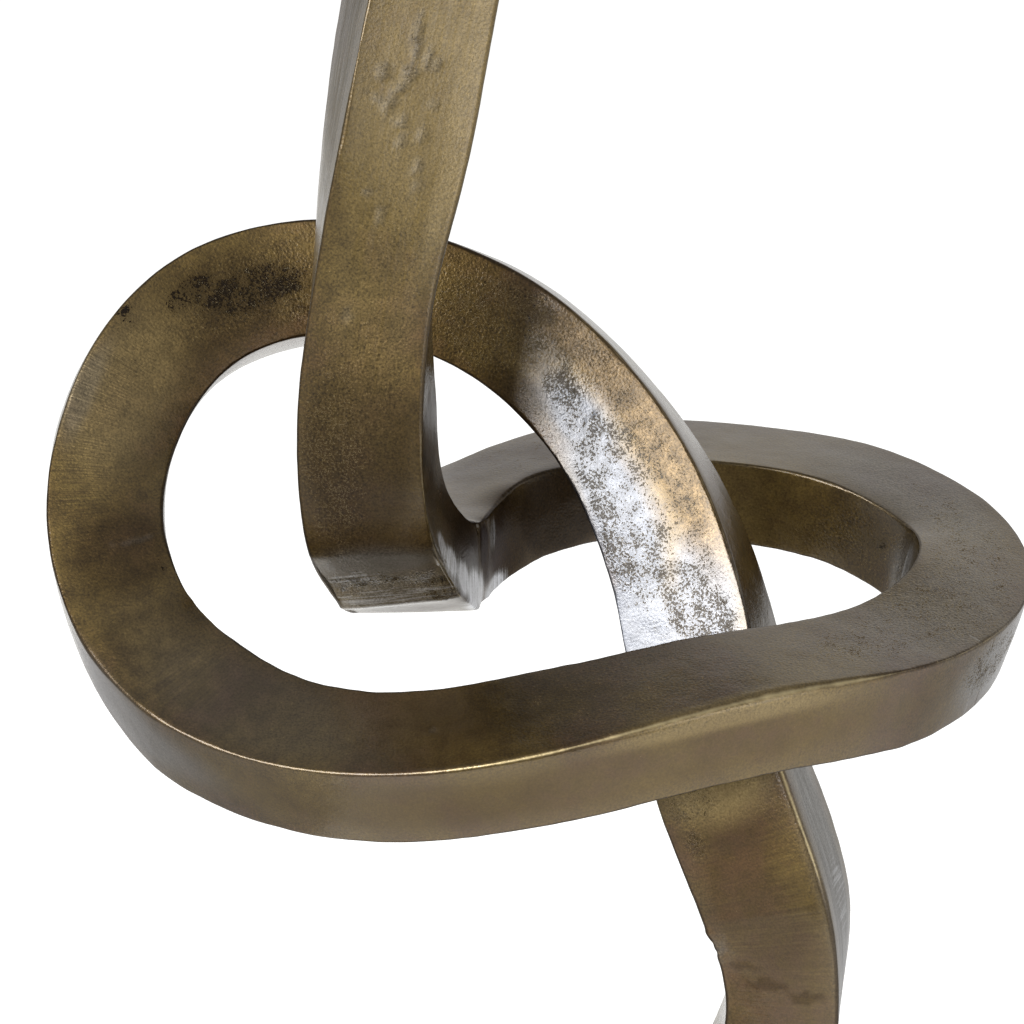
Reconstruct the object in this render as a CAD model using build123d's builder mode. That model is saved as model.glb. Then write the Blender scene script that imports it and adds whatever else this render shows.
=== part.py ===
from build123d import *
import math
import os

os.makedirs("parts", exist_ok=True)

# Band section
band_thickness = 26.0
edge_radius = 1.2
end_bevel = 1.5
sections_per_station = 3

# Welded joints between the castings
weld_width = 5.0
weld_depth = 2.4
pin_diameter = 6.0
pin_length = 22.0
pin_spacing = 16.0
pin_bevel = 0.6
pin_end_gap = 0.5

# Base plate and the felt under it
base_length = 200.0
base_depth = 140.0
base_thickness = 20.0
base_corner = 8.0
base_bevel = 3.0
felt_thickness = 2.0
felt_margin = 3.0

# Socket screws from beneath, into the foot of the band
screw_diameter = 6.0
screw_length = 30.0
screw_spacing = 18.0
screw_clearance = 0.6
screw_tip_gap = 2.0
head_diameter = 10.0
head_height = 6.0
socket_size = 5.0
socket_depth = 3.0
washer_diameter = 12.0
washer_thickness = 1.6
washer_clearance = 0.4
counterbore_diameter = 13.0
counterbore_depth = 9.0

base_top = felt_thickness + base_thickness

# Stations of the band, from its upper end down through the knot to its foot
# Each has the centre line's x and y, its height above the base, then the turn and lean of the
# wide face in degrees, then the width of the band there
# A turn of 0 faces the front, 90 faces the floor and 180 the back, and a lean swings the face to the right
stations = [
    (-4, -16, 502, 1, 29, 36),
    (-21, -25, 457, -1, 24, 36),
    (-33, -31, 412, -1, 19, 36),
    (-41, -34, 367, 0, 13, 36),
    (-48, -33, 325, 4, 1, 33),
    (-50, -30, 286, 14, -8, 35),
    (-47, -19, 255, 36, -5, 36),
    (-39, 1, 237, 65, 1, 36),
    (-33, 29, 235, 87, -2, 35),
    (-17, 57, 238, 91, 6, 35),
    (14, 76, 243, 97, 2, 35),
    (55, 80, 242, 97, -3, 35),
    (95, 70, 237, 101, -7, 35),
    (120, 47, 227, 105, -10, 35),
    (121, 15, 220, 105, -14, 34),
    (98, -22, 213, 104, -8, 34),
    (55, -51, 213, 104, -1, 35),
    (1, -65, 205, 112, 4, 35),
    (-54, -60, 198, 116, 4, 33),
    (-96, -39, 207, 124, 2, 34),
    (-123, -8, 236, 138, 1, 33),
    (-125, 19, 270, 149, -12, 34),
    (-104, 39, 300, 157, -12, 35),
    (-63, 48, 311, 162, -2, 34),
    (-19, 44, 302, 168, 5, 33),
    (20, 29, 270, 164, 12, 34),
    (42, 9, 226, 166, 20, 38),
    (53, -8, 179, 170, 22, 40),
    (66, -16, 144, 177, 20, 38),
    (70, -15, 118, 185, 10, 33),
    (65, -12, 88, 187, 0, 34),
    (54, -8, 58, 187, -6, 35),
    (44, -6, 28, 185, -13, 35),
    (40, -6, -2, 183, -21, 35),
]

# Where one casting is welded to the next
# Each joint has its station and the share of the way from there to the next station
joint_rows = [
    ("top", 1, 0.5),
    ("heel_front", 6, 0.6),
    ("heel_back", 8, 0.4),
    ("back", 10, 0.3),
    ("right", 14, 0.6),
    ("left", 18, 0.9),
    ("crown", 23, 0.3),
    ("ring", 27, 0.1),
    ("leg", 30, 0.3),
]
joints = {name: station + share for name, station, share in joint_rows}

with BuildLine() as centre:
    Spline(*[(x, y, base_top + height) for x, y, height, turn, lean, width in stations])

centre_line = centre.edge()
stops = [centre_line.param_at_point(Vector(row[0], row[1], base_top + row[2])) for row in stations]


def facing(station):
    """Direction that the wide face looks in at a station."""
    turn = math.radians(stations[station][3])
    lean = math.radians(stations[station][4])
    return Vector(math.sin(lean), -math.cos(lean) * math.cos(turn), -math.cos(lean) * math.sin(turn))


def width_at(place):
    """Width of the band at a place between stations."""
    station = min(int(place), len(stations) - 2)
    share = place - station
    return stations[station][5] * (1 - share) + stations[station + 1][5] * share


def band_plane(place):
    """Plane across the band, with x towards the wide face and z along the band."""
    station = min(int(place), len(stations) - 2)
    share = place - station
    along = stops[station] * (1 - share) + stops[station + 1] * share
    face = facing(station) * (1 - share) + facing(station + 1) * share
    return Plane(centre_line @ along, x_dir=face, z_dir=centre_line % along)


def outline(plane, place, inset=0.0):
    """Section of the band on a plane, drawn in all round by the inset."""
    with BuildSketch(plane) as section:
        RectangleRounded(band_thickness - 2 * inset, width_at(place) - 2 * inset, edge_radius)
    return section.sketch


def sections_between(start, end):
    """Sections evenly spaced along the band between two places."""
    count = round((end - start) * sections_per_station)
    step = (end - start) / count
    return [outline(band_plane(start + step * turn), start + step * turn) for turn in range(1, count)]


def joint_tip(place, side):
    """The bevelled tip that meets the next casting at a joint, on one side of it."""
    plane = band_plane(place)
    return [outline(plane.offset(side * weld_width / 2), place), outline(plane, place, weld_depth)]


def pin_circles(plane):
    """The two dowel pins of a joint, in section."""
    with BuildSketch(plane) as circles:
        with GridLocations(0, pin_spacing, 1, 2):
            Circle(pin_diameter / 2)
    return circles.sketch


pin_hole_depth = pin_length / 2 + pin_end_gap

# Castings between one joint and the next
castings = ["drop_bar", "heel_bend", "back_rail", "right_bend", "front_rail", "left_loop", "diving_bar", "lower_leg"]
places = list(joints.values())

for name, start, end in zip(castings, places[:-1], places[1:]):
    first = joint_tip(start, 1)
    last = joint_tip(end, -1)
    with BuildPart() as casting:
        loft([first[0], *sections_between(start, end), last[0]])
        loft(first, ruled=True)
        loft(last, ruled=True)
        extrude(pin_circles(band_plane(start)), amount=pin_hole_depth, mode=Mode.SUBTRACT)
        extrude(pin_circles(band_plane(end)), amount=-pin_hole_depth, mode=Mode.SUBTRACT)
    casting.part.label = name
    export_step(casting.part, f"parts/{name}.step")

# Upper end of the band, with a plain bevelled end
end_plane = band_plane(0)
bevel_start = outline(end_plane.offset(end_bevel), 0)
top_tip = joint_tip(joints["top"], -1)

with BuildPart() as top_bar:
    loft([bevel_start, *sections_between(0, joints["top"]), top_tip[0]])
    loft([bevel_start, outline(end_plane, 0, end_bevel)], ruled=True)
    loft(top_tip, ruled=True)
    extrude(pin_circles(band_plane(joints["top"])), amount=-pin_hole_depth, mode=Mode.SUBTRACT)
top_bar.part.label = "top_bar"
export_step(top_bar.part, "parts/top_bar.step")

# Foot of the band, cut level to stand on the base
foot_place = len(stations) - 1
foot_facing = facing(foot_place)
foot_plane = Plane(
    (stations[foot_place][0], stations[foot_place][1], base_top),
    x_dir=(foot_facing.X, foot_facing.Y, 0),
    z_dir=(0, 0, 1),
)
screw_seat = counterbore_depth - base_thickness
screw_grip = screw_length - washer_thickness + screw_seat
leg_tip = joint_tip(joints["leg"], 1)

with BuildPart() as foot_bar:
    loft([leg_tip[0], *sections_between(joints["leg"], foot_place), outline(band_plane(foot_place), foot_place)])
    loft(leg_tip, ruled=True)
    split(bisect_by=Plane.XY.offset(base_top), keep=Keep.TOP)
    extrude(pin_circles(band_plane(joints["leg"])), amount=pin_hole_depth, mode=Mode.SUBTRACT)
    with BuildSketch(foot_plane):
        with GridLocations(0, screw_spacing, 1, 2):
            Circle(screw_diameter / 2)
    extrude(amount=screw_grip + screw_tip_gap, mode=Mode.SUBTRACT)
foot_bar.part.label = "foot_bar"
export_step(foot_bar.part, "parts/foot_bar.step")

# Weld seams that fill the grooves, dressed flush, and the dowel pins inside the joints
for name, place in joints.items():
    plane = band_plane(place)
    with BuildPart() as weld:
        extrude(outline(plane.offset(-weld_width / 2), place), amount=weld_width)
        loft(joint_tip(place, -1), ruled=True, mode=Mode.SUBTRACT)
        loft(joint_tip(place, 1), ruled=True, mode=Mode.SUBTRACT)
    weld.part.label = f"{name}_weld"
    export_step(weld.part, f"parts/{name}_weld.step")

    with BuildPart() as pins:
        extrude(pin_circles(plane.offset(-pin_length / 2)), amount=pin_length)
        chamfer(pins.edges().filter_by(GeomType.CIRCLE), pin_bevel)
    pins.part.label = f"{name}_pins"
    export_step(pins.part, f"parts/{name}_pins.step")

# Base plate
with BuildPart() as base_plate:
    with BuildSketch(Plane.XY.offset(felt_thickness)):
        RectangleRounded(base_length, base_depth, base_corner)
    extrude(amount=base_thickness)
    chamfer(base_plate.faces().sort_by(Axis.Z)[-1].edges(), base_bevel)
    with BuildSketch(foot_plane):
        with GridLocations(0, screw_spacing, 1, 2):
            Circle(screw_diameter / 2 + screw_clearance / 2)
    extrude(amount=-base_thickness, mode=Mode.SUBTRACT)
    with BuildSketch(foot_plane.offset(-base_thickness)):
        with GridLocations(0, screw_spacing, 1, 2):
            Circle(counterbore_diameter / 2)
    extrude(amount=counterbore_depth, mode=Mode.SUBTRACT)
base_plate.part.label = "base_plate"
export_step(base_plate.part, "parts/base_plate.step")

# Washers in the counterbores
with BuildPart() as base_washers:
    with BuildSketch(foot_plane.offset(screw_seat)):
        with GridLocations(0, screw_spacing, 1, 2):
            Circle(washer_diameter / 2)
            Circle(screw_diameter / 2 + washer_clearance / 2, mode=Mode.SUBTRACT)
    extrude(amount=-washer_thickness)
base_washers.part.label = "base_washers"
export_step(base_washers.part, "parts/base_washers.step")

# Socket screws that pull the foot down on the base
head_plane = foot_plane.offset(screw_seat - washer_thickness)

with BuildPart() as base_screws:
    with BuildSketch(head_plane):
        with GridLocations(0, screw_spacing, 1, 2):
            Circle(screw_diameter / 2)
    extrude(amount=screw_length)
    with BuildSketch(head_plane):
        with GridLocations(0, screw_spacing, 1, 2):
            Circle(head_diameter / 2)
    extrude(amount=-head_height)
    with BuildSketch(head_plane.offset(-head_height)):
        with GridLocations(0, screw_spacing, 1, 2):
            RegularPolygon(socket_size / 2, 6, major_radius=False)
    extrude(amount=socket_depth, mode=Mode.SUBTRACT)
base_screws.part.label = "base_screws"
export_step(base_screws.part, "parts/base_screws.step")

# Felt sheet under the base
with BuildPart() as felt_sheet:
    with BuildSketch():
        RectangleRounded(base_length - 2 * felt_margin, base_depth - 2 * felt_margin, base_corner)
    extrude(amount=felt_thickness)
felt_sheet.part.label = "felt_sheet"
export_step(felt_sheet.part, "parts/felt_sheet.step")
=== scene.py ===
import math

import bmesh
import bpy
import numpy as np
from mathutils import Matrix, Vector, noise


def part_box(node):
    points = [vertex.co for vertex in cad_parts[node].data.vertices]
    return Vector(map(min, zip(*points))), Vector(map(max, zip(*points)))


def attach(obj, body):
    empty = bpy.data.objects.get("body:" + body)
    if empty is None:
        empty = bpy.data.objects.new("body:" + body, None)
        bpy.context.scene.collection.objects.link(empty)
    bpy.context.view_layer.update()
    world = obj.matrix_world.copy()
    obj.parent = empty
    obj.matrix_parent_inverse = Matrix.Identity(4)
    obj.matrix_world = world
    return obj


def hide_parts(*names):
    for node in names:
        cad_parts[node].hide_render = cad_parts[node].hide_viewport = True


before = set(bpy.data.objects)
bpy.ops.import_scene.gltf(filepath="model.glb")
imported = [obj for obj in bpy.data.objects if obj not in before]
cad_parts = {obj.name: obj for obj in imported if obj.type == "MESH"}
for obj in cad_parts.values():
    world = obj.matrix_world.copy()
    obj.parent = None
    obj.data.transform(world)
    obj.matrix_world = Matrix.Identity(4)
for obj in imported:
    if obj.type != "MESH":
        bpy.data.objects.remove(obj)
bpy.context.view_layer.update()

bl_info = {
    "name": "Metal Knot Sculpture",
    "version": (1, 0, 0),
    "blender": (4, 5, 0),
    "location": "View3D > Sidebar > Knot",
    "description": "Builds the skin, finishes and studio of a cast metal band tied in an open knot",
    "category": "Object",
}

BASE_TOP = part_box("base_plate")[1].z

# Stations of the band from its upper end to its foot, in millimetres and degrees
# Each has x, y and height above the base, the turn and lean of the wide face, and the width
STATIONS = [
    (-4, -16, 502, 1, 29, 36),
    (-21, -25, 457, -1, 24, 36),
    (-33, -31, 412, -1, 19, 36),
    (-41, -34, 367, 0, 13, 36),
    (-48, -33, 325, 4, 1, 33),
    (-50, -30, 286, 14, -8, 35),
    (-47, -19, 255, 36, -5, 36),
    (-39, 1, 237, 65, 1, 36),
    (-33, 29, 235, 87, -2, 35),
    (-17, 57, 238, 91, 6, 35),
    (14, 76, 243, 97, 2, 35),
    (55, 80, 242, 97, -3, 35),
    (95, 70, 237, 101, -7, 35),
    (120, 47, 227, 105, -10, 35),
    (121, 15, 220, 105, -14, 34),
    (98, -22, 213, 104, -8, 34),
    (55, -51, 213, 104, -1, 35),
    (1, -65, 205, 112, 4, 35),
    (-54, -60, 198, 116, 4, 33),
    (-96, -39, 207, 124, 2, 34),
    (-123, -8, 236, 138, 1, 33),
    (-125, 19, 270, 149, -12, 34),
    (-104, 39, 300, 157, -12, 35),
    (-63, 48, 311, 162, -2, 34),
    (-19, 44, 302, 168, 5, 33),
    (20, 29, 270, 164, 12, 34),
    (42, 9, 226, 166, 20, 38),
    (53, -8, 179, 170, 22, 40),
    (66, -16, 144, 177, 20, 38),
    (70, -15, 118, 185, 10, 33),
    (65, -12, 88, 187, 0, 34),
    (54, -8, 58, 187, -6, 35),
    (44, -6, 28, 185, -13, 35),
    (40, -6, -2, 183, -21, 35),
]

# Places along the stations where one casting is welded to the next
JOINTS = {
    "top": 1.5,
    "heel_front": 6.6,
    "heel_back": 8.4,
    "back": 10.3,
    "right": 14.6,
    "left": 18.9,
    "crown": 23.3,
    "ring": 27.1,
    "leg": 30.3,
}
CASTINGS = (
    "top_bar", "drop_bar", "heel_bend", "back_rail", "right_bend",
    "front_rail", "left_loop", "diving_bar", "lower_leg", "foot_bar",
)

# Marks of age and work on the band, and painted light and shade, by kind and face
# Each has its place along the stations, the distance across from the face's middle, its half length along and half
# width across in millimetres, and its strength
# Across goes to the outer side on a wide face and to the front on a narrow one
MARKS = {
    ("pitted", "front"): [
        (3.3, 2, 28, 12, 0.2), (4.2, 0, 60, 26, 0.3), (5.05, 8, 46, 16, 0.54), (6.29, 6, 5, 16, 0.75),
        (6.36, -11, 6, 9, 0.75), (6.57, -13, 6, 8, 0.8),
    ],
    ("pitted", "back"): [
        (9.5, 0, 34, 26, 0.4), (14.3, 0, 120, 26, 0.55), (16.5, 0, 60, 26, 0.28), (18.2, 0, 34, 22, 0.2),
        (22.4, 0, 36, 18, 0.4), (22.85, -9, 22, 8, 0.55), (24.1, 0, 34, 26, 0.58), (24.25, 11, 14, 8, 0.78),
        (24.6, 9, 22, 13, 0.52), (24.66, -2, 13, 10, 0.8), (25.05, -1, 17, 9, 0.76), (25.19, 4, 16, 8, 0.76),
        (25.3, -12, 26, 7, 0.76), (25.45, -5, 70, 18, 0.59), (25.5, 8, 70, 12, 0.56), (25.65, -13, 24, 7, 0.78),
        (25.72, -3, 18, 13, 0.7), (26.05, 3, 22, 14, 0.74), (26.2, 9, 20, 10, 0.8), (27.02, 10, 7, 9, 0.62),
        (27.15, -9, 8, 12, 0.58), (27.42, -12, 7, 5, 0.62),
    ],
    ("pitted", "outer"): [(14.45, -2, 26, 16, 0.72), (27.6, 0, 44, 16, 0.15)],
    ("pitted", "inner"): [(12.7, 0, 44, 18, 0.45)],
    ("dark", "front"): [(6.29, 6, 4.5, 16, 1.0), (6.38, -12, 4.5, 8, 1.0), (6.57, -13, 5, 7, 1.0)],
    ("dark", "back"): [
        (19.84, -14.5, 3, 3, 1.0), (21.7, 15, 4, 4, 0.9), (22.08, 7, 13, 7, 0.85), (22.45, 0, 30, 12, 0.95),
    ],
    ("dark", "inner"): [(12.5, -3, 16, 10, 0.7), (13.2, 5, 10, 7, 0.6)],
    # Painted shade: these darker brown marks mostly stand for shade and for dark parts of the band seen in
    # reflection, above all on the inner faces; some are thicker patina
    ("thick_patina_and_shade", "front"): [(5.1, 0, 46, 28, 0.65), (6.95, 0, 9, 26, 0.5)],
    ("thick_patina_and_shade", "back"): [
        (9.2, 0, 34, 26, 0.4), (17.2, -5, 40, 18, 0.4), (19.45, 0, 16, 26, 0.3), (20.02, -4, 24, 26, 0.65),
        (22.15, 0, 44, 24, 0.62), (24.1, 0, 32, 26, 0.2), (24.42, 4, 20, 16, 0.5), (24.45, -14, 20, 11, 0.7),
        (27.9, 0, 40, 26, 0.38), (28.0, -6, 16, 22, 0.3), (28.63, -11, 3, 8, 0.5), (28.88, -4, 3.5, 9, 0.5),
        (29.0, 8, 3, 8, 0.45),
    ],
    ("thick_patina_and_shade", "outer"): [(17.6, 0, 50, 16, 0.28)],
    ("thick_patina_and_shade", "inner"): [
        (5.0, 0, 22, 26, 0.55), (6.85, 0, 24, 26, 0.8), (7.68, -5, 9, 13, 1.0), (7.8, 3, 8, 10, 0.8),
        (8.5, 0, 32, 26, 0.85), (9.4, 0, 44, 26, 1.0), (12.7, 0, 46, 26, 0.5),
    ],
    # Painted light: these lighter brass marks are partly brass rubbed thin and partly light, as on the top of the
    # loop, the lit top of the leg and the highlight strip along the drop bar's edge
    ("rubbed_and_lit", "front"): [(2.2, -2, 100, 28, 0.5), (2.6, -14, 80, 7, 0.85), (3.6, -2, 70, 26, 0.35)],
    ("rubbed_and_lit", "back"): [(14.4, 0, 60, 26, 0.18), (21.25, 4, 40, 24, 0.8), (27.05, 0, 16, 24, 0.95)],
    ("rubbed_and_lit", "outer"): [(16.25, -11, 45, 6, 0.65)],
    ("rubbed_and_lit", "inner"): [(10.9, 0, 24, 26, 0.5)],
    # Painted reflection: much of this grey, on the heel facets, the drop bar's left side, the loop's outer facet and
    # the leg's side, stands for the white room seen at a grazing angle; the rest is grey metal
    ("grey", "front"): [(6.05, 0, 9, 30, 0.6), (6.25, 0, 10, 30, 0.42), (6.6, 0, 9, 30, 0.42)],
    ("grey", "back"): [
        (12.5, 0, 50, 26, 0.32), (14.6, 0, 50, 26, 0.3), (18.55, 0, 70, 26, 0.14), (21.15, 15, 20, 6, 0.25),
    ],
    ("grey", "outer"): [
        (2.4, 0, 130, 16, 0.36), (14.4, 0, 26, 18, 0.8), (19.35, 0, 46, 16, 0.68), (28.0, 0, 90, 16, 1.0),
    ],
    ("grey", "inner"): [(13.6, 0, 30, 16, 0.5)],
    # Painted highlight: cool grey put where the soft light's white reflection lies on the crown, so that it reads
    # white
    ("highlight_grey", "back"): [
        (24.88, -5, 26, 12, 0.88), (25.5, -9, 58, 16, 0.9), (26.05, 8, 26, 14, 0.85), (26.1, -12, 32, 16, 0.9),
        (26.3, 2, 34, 22, 0.85),
    ],
    ("silver", "front"): [(6.28, 8, 5, 13, 0.42), (6.36, -8, 4, 11, 0.32), (6.58, 0, 7, 30, 0.4)],
    ("silver", "outer"): [(28.15, 2, 16, 11, 0.45)],
    ("silver", "inner"): [
        (6.1, 8, 9, 5, 0.95), (6.4, 7, 9, 7, 1.0), (6.75, 7, 9, 9, 1.0), (7.1, 8, 12, 12, 1.0),
        (7.45, 9, 12, 12, 1.0), (8.05, -6, 7, 9, 0.6), (8.1, 13, 18, 8, 0.95), (13.5, -3, 9, 12, 0.62),
    ],
    # Painted sheen: warm brass without coat along the edge of the soft light's reflection on the crown
    ("gold", "back"): [(25.05, 13, 66, 12, 1.0)],
    ("thin", "front"): [(5.0, 0, 50, 28, 0.4)],
    ("thin", "back"): [(25.5, 0, 40, 20, 0.45), (28.2, 0, 90, 26, 0.55)],
    ("thin", "outer"): [(16.6, 0, 110, 16, 0.55)],
    ("thin", "inner"): [(7.72, -3, 7, 14, 1.0), (8.4, 0, 24, 26, 0.4)],
    ("ground", "back"): [
        (19.0, 0, 26, 26, 0.5), (20.9, 8, 46, 15, 0.9), (21.2, 14, 22, 8, 1.0), (28.2, 0, 80, 26, 0.5),
    ],
    ("ground", "inner"): [(7.6, 4, 22, 18, 1.0)],
    ("drawn", "front"): [(2.0, 0, 220, 26, 0.8)],
    ("drawn", "outer"): [(2.4, 0, 220, 16, 1.0), (28.0, 0, 90, 16, 1.0)],
    ("smooth", "front"): [(2.2, 0, 110, 26, 0.3), (6.1, 0, 7, 30, 0.7), (6.85, 0, 9, 30, 0.8)],
    ("smooth", "back"): [
        (10.4, 0, 70, 26, 0.5), (18.0, 0, 110, 26, 0.6), (25.45, -4, 66, 20, 0.9), (26.15, -6, 40, 22, 0.9),
        (28.6, 0, 80, 26, 0.6),
    ],
    ("smooth", "outer"): [(17.0, 0, 170, 18, 0.8), (28.0, 0, 110, 16, 0.6)],
}

# Runs of edge that are worn and carry a painted highlight, with the two faces that meet there, the places
# between, and the strength
WORN_AND_LIT_EDGES = [
    ("outer back", 14.2, 15.2, 0.5),
    ("outer back", 14.9, 17.9, 0.9),
    ("outer back", 17.3, 19.4, 0.33),
    ("outer back", 24.0, 26.5, 0.5),
    ("outer back", 26.6, 28.1, 1.0),
    ("back inner", 11.0, 13.6, 0.4),
    ("inner front", 4.6, 7.2, 0.5),
]

# Edges ground rounder than the rest, with the edge's number in BandSection.corners, the place, the half length in
# millimetres and the share of the mean radius
ROUNDED_EDGES = [
    (1, 16.60, 70, 1.6),
    (1, 16.05, 50, 3.0),
    (1, 27.30, 35, 2.0),
    (3, 2.60, 130, 2.2),
]

# Dents by face, with the place, distance across, half length, half width and depth in millimetres
# A depth below 0 stands out
DENTS = {
    "front": [
        (2.33, 3.5, 6, 1.7, 0.4), (2.43, 2.6, 4, 1.7, 0.4), (2.48, -1.4, 2.8, 1.8, 0.4), (2.5, -3.8, 2.2, 1.8, 0.35),
        (2.58, 3.2, 2.6, 2.6, 0.4), (2.6, 10.5, 2.4, 3.0, 0.45), (2.67, 4.8, 2.6, 2.0, 0.35),
        (2.72, -5.6, 2.2, 2.0, 0.22), (2.73, 6.5, 2.6, 1.8, 0.35), (2.75, 10.8, 1.8, 2.4, 0.3),
        (2.8, 8.0, 2.4, 1.8, 0.3), (2.85, 2.5, 2.0, 2.2, 0.35), (2.91, -4.2, 3.2, 1.8, 0.25),
        (2.97, 2.1, 2.4, 2.0, 0.28), (3.11, -4.5, 3.2, 2.0, 0.3), (3.23, -5.8, 3.6, 1.8, 0.25),
        (3.3, 8.4, 1.6, 1.6, 0.45), (3.43, 2.8, 4.0, 1.8, 0.2), (4.1, 7, 2.4, 2.0, 0.2),
    ],
    "back": [(17.55, 0, 1.4, 1.4, 0.35), (20.1, -9, 1.2, 7.0, 0.16), (24.9, 0, 1.0, 6.0, 0.25)],
    "inner": [(7.33, -12, 2.4, 2.0, 0.8), (28.22, -11, 3.0, 5.0, -0.8), (28.42, -10, 5.0, 8.0, 0.6)],
}

# Places where two ground flats meet, with the face, place, change of slope and reach in millimetres
FLATS = [
    ("front", 5.93, 0.05, 13),
    ("front", 6.66, 0.06, 8),
    ("inner", 7.60, -0.10, 9),
    ("outer", 19.05, 0.04, 14),
    ("inner", 19.50, -0.07, 22),
    ("back", 19.55, 0.05, 18),
    ("back", 28.05, 0.06, 18),
]

# Runs ground straight from one place to another, with the face
FACETS = [
    ("front", 5.93, 6.66),
    ("front", 6.66, 7.20),
]

# Slow waves of the faces, with the share of the waviness, the size in metres and the seed of the noise
WAVES = [(1.0, 0.032, 4.7), (0.4, 0.011, 9.1), (0.16, 0.0042, 2.3)]

# Waves of the edges' radius, with their share, the size in metres, the seed, and its step from edge to edge
EDGE_WAVES = [(1.0, 0.016, 7.3, 11), (0.5, 0.005, 3.1, 5)]
EDGE_CHANGE = 0.55
EDGE_LIMITS = (0.45, 2.0)

# Chatter of the grinder on the loop, with its face, place, distance across, half length and half width in
# millimetres, and then its rise and spacing in metres
CHATTER = ("back", JOINTS["left"] + 0.2, 0, 26, 24)
CHATTER_RISE = 0.00014
CHATTER_STEP = 0.0015

# Marks that a dent leaves, with the strength for each millimetre of depth and the most
DENT_MARKS = [("pitted", 1.2, 0.5), ("grey", 0.6, 0.22), ("thick_patina_and_shade", 0.6, 0.25)]

DENT_HALO = 1.3  # how much further than the dent these reach
MARK_FILL = 1.8  # above 1, the middle of a mark is evenly strong and only its rim fades
SMALL_MARK = 6  # half length in millimetres below which a mark has a ragged rim
RIM_SIZE = 0.0025  # size in metres of the unevenness of that rim
RIM_SHARE = 0.6  # share of the mark that it reaches into
FLAT_WIDTH = 26  # half width in millimetres of the place where two flats meet
EDGE_FADE = 2.5  # how soon a worn edge fades towards the ends of its run
MEAN_WIDTH = 0.035  # width of the band in metres, for the spacing of the mesh round it
MAP_CORNER = 0.0004  # radius of an edge in metres, for the distances round the section
LINE_SAMPLES = 8001
EDGE_SAMPLES = 1600
FOOT_SAMPLES = 120
ARC_POINTS = 7
CORNER_STEPS = 8
BAND_CREASE = math.radians(40)
SLAB_CREASE = math.radians(50)


def linear(code):
    """Linear colour with alpha from an sRGB hex value."""
    parts = [int(code[place:place + 2], 16) / 255 for place in (1, 3, 5)]
    return [part / 12.92 if part <= 0.04045 else ((part + 0.055) / 1.055) ** 2.4 for part in parts] + [1.0]


class KnotBandSizes(bpy.types.PropertyGroup):
    """Sizes of the cast band and of the work on its surface."""

    thickness: bpy.props.FloatProperty(
        name="Band thickness", description="Thickness of the band through its wide faces",
        default=0.026, min=0.015, max=0.03, unit="LENGTH")
    edge_radius: bpy.props.FloatProperty(
        name="Edge radius", description="Mean radius of the hand ground edges",
        default=0.001, min=0.0004, max=0.004, unit="LENGTH")
    end_bevel: bpy.props.FloatProperty(
        name="End bevel", description="Bevel at the upper end of the band",
        default=0.0015, min=0.0005, max=0.004, unit="LENGTH")
    crown: bpy.props.FloatProperty(
        name="Crown", description="How far the middle of a ground face stands above its edges",
        default=0.0002, min=0.0, max=0.001, unit="LENGTH")
    waviness: bpy.props.FloatProperty(
        name="Waviness", description="Depth of the slow waves that grinding by hand leaves",
        default=0.00028, min=0.0, max=0.001, unit="LENGTH")
    weld_width: bpy.props.FloatProperty(
        name="Weld width", description="Width of a dressed weld on the surface of the band",
        default=0.005, min=0.002, max=0.01, unit="LENGTH")
    weld_depth: bpy.props.FloatProperty(
        name="Weld depth", description="Depth of the groove that a weld fills",
        default=0.0024, min=0.001, max=0.004, unit="LENGTH")
    mesh_step: bpy.props.FloatProperty(
        name="Mesh step", description="Length of a mesh face along and across the band",
        default=0.0009, min=0.0005, max=0.004, unit="LENGTH")


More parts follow.
